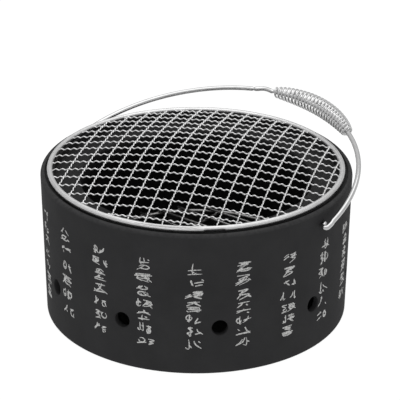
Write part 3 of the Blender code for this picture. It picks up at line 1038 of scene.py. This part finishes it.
def hook_path():
    """The hook at the bail's right end: down, round and in through the wall, to a flattened head."""
    turn_centre = (HOOK_REACH - HOOK_BEND, -HOOK_DROP)
    entry_centre = (HOOK_REACH - 3 * HOOK_BEND, -HOOK_BEND)
    points = [(HOOK_REACH - 0.1 * MM, 2.0 * MM), (HOOK_REACH, 0.0)]
    points += arc(turn_centre, HOOK_BEND, 0.0, -pi, 10)
    points += arc(entry_centre, HOOK_BEND, 0.0, pi / 2, 6)
    return points + [(HOOK_TIP + PEENED_LENGTH, 0.0), (HOOK_TIP, 0.0)]


def build_bail(material):
    """The bail: a half circle with a hook at each end, two pinch marks and a flattened head on each hook."""
    hook = hook_path()
    outline = [(-x, y) for x, y in reversed(hook)] + bail_arc() + hook
    path = smooth_path(outline, BAIL_STEP)
    length = np.arange(len(path)) * BAIL_STEP
    from_end = np.minimum(length, length[-1] - length)
    peened = np.clip((PEENED_LENGTH - from_end) / PEENED_BLEND + 0.5, 0.0, 1.0)
    scales = 1.0 + (PEENED_SCALE - 1.0) * peened
    for angle in (JOG_START, JOG_END):
        pinch = np.array([BAIL_RADIUS * sin(angle), BAIL_RADIUS * cos(angle)])
        away = np.linalg.norm(path - pinch, axis=1)
        scales -= PINCH_DEPTH * np.exp(-((away / PINCH_LENGTH) ** 2))
    matrix = bail_matrix()
    flat = np.concatenate([path, np.zeros((len(path), 1))], axis=1)
    corners, faces = tube(flat, (0, 0, 1), BAIL_WIRE, sides=24, scales=scales)
    corners, faces = place_shape((corners, faces), matrix)
    bail = mesh_object("bail_rod", corners, faces, material)
    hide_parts("bail_wire")
    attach(bail, "bail")


def build_grip(material):
    """The grip: an open coil round the bail, wide in the middle."""
    count = round(GRIP_TURNS * GRIP_POINTS_PER_TURN)
    share = np.linspace(0.0, 1.0, count + 1)
    angle = GRIP_START + (GRIP_END - GRIP_START) * share
    turn = 2 * pi * GRIP_TURNS * share
    bulge = np.sin(pi * share)
    coil = GRIP_END_RADIUS + (GRIP_MIDDLE_RADIUS - GRIP_END_RADIUS) * bulge**GRIP_FULLNESS - GRIP_WIRE
    radius = BAIL_RADIUS + GRIP_STAND_OFF * bulge + coil * np.cos(turn)
    path = np.stack([radius * np.sin(angle), radius * np.cos(angle), coil * np.sin(turn)], axis=1)
    outward = np.stack([np.sin(angle) * np.cos(turn), np.cos(angle) * np.cos(turn), np.sin(turn)], axis=1)
    shape = place_shape(tube(path, outward, GRIP_WIRE), bail_matrix())
    grip = mesh_object("grip_spring", *shape, material)
    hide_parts("grip_coil")
    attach(grip, "grip")


# ---------------------------------------------------------------- stage


def build_floor():
    sides = ((-1, -1), (1, -1), (1, 1), (-1, 1))
    corners = [(FLOOR_REACH * x, FLOOR_REACH * y, FLOOR_LEVEL) for x, y in sides]
    floor = mesh_object("floor", corners, [[0, 1, 2, 3]], plain_floor())


def add_area_light(name, place, target, size, power):
    light = bpy.data.lights.new(name, "AREA")
    light.shape = "RECTANGLE"
    light.size, light.size_y = size
    light.energy = power
    obj = bpy.data.objects.new(name, light)
    obj.location = place
    obj.rotation_euler = (Vector(target) - Vector(place)).to_track_quat("-Z", "Y").to_euler()
    bpy.context.scene.collection.objects.link(obj)


def build_world():
    """A plain grey studio, paler above than at the horizon."""
    world = bpy.data.worlds.new("studio")
    bpy.context.scene.world = world
    world.use_nodes = True
    tree = world.node_tree
    background = tree.nodes["Background"]
    place = tree.nodes.new("ShaderNodeTexCoord").outputs["Generated"]
    split = tree.nodes.new("ShaderNodeSeparateXYZ")
    tree.links.new(place, split.inputs["Vector"])
    ramp = tree.nodes.new("ShaderNodeValToRGB")
    tree.links.new(split.outputs["Z"], ramp.inputs["Fac"])
    horizon, sky = ramp.color_ramp.elements
    horizon.position = 0.0
    horizon.color = HORIZON_COLOUR
    sky.position = SKY_FROM
    sky.color = SKY_COLOUR
    tree.links.new(ramp.outputs["Color"], background.inputs["Color"])
    background.inputs["Strength"].default_value = 1.0


def add_camera():
    camera = bpy.data.cameras.new("camera")
    camera.sensor_width = SENSOR_WIDTH
    camera.lens = CAMERA_LENS
    camera.clip_start = 0.01
    obj = bpy.data.objects.new("camera", camera)
    around = Matrix.Rotation(CAMERA_AZIMUTH, 4, "Z")
    back = around @ Vector((0.0, -cos(CAMERA_ELEVATION), sin(CAMERA_ELEVATION)))
    turn = around @ Matrix.Rotation(pi / 2 - CAMERA_ELEVATION + CAMERA_PITCH, 4, "X")
    turn @= Matrix.Rotation(-CAMERA_YAW, 4, "Y") @ Matrix.Rotation(CAMERA_ROLL, 4, "Z")
    obj.matrix_world = Matrix.Translation(CAMERA_TARGET + back * CAMERA_DISTANCE) @ turn
    bpy.context.scene.collection.objects.link(obj)
    bpy.context.scene.camera = obj


def main():
    bpy.context.scene.view_settings.view_transform = "Standard"
    build_drum(drum_coating())
    build_marks(ink())
    build_pot(pot_coating())
    build_grate(grate_steel())
    build_rim(bright_steel("rim_steel", (0.94, 0.94, 0.94), 0.4, 0.06))
    build_net(bright_steel("net_steel", (0.9, 0.9, 0.9), 0.22, 0.05))
    build_bail(bright_steel("bail_steel", (0.86, 0.86, 0.86), 0.14, 0.04))
    build_grip(bright_steel("spring_steel", (0.92, 0.92, 0.92), 0.2, 0.05))
    build_floor()
    build_world()
    add_area_light("overhead", SOFTBOX_PLACE, (0.0, 0.0, 0.0), SOFTBOX_SIZE, SOFTBOX_POWER)
    add_camera()


main()
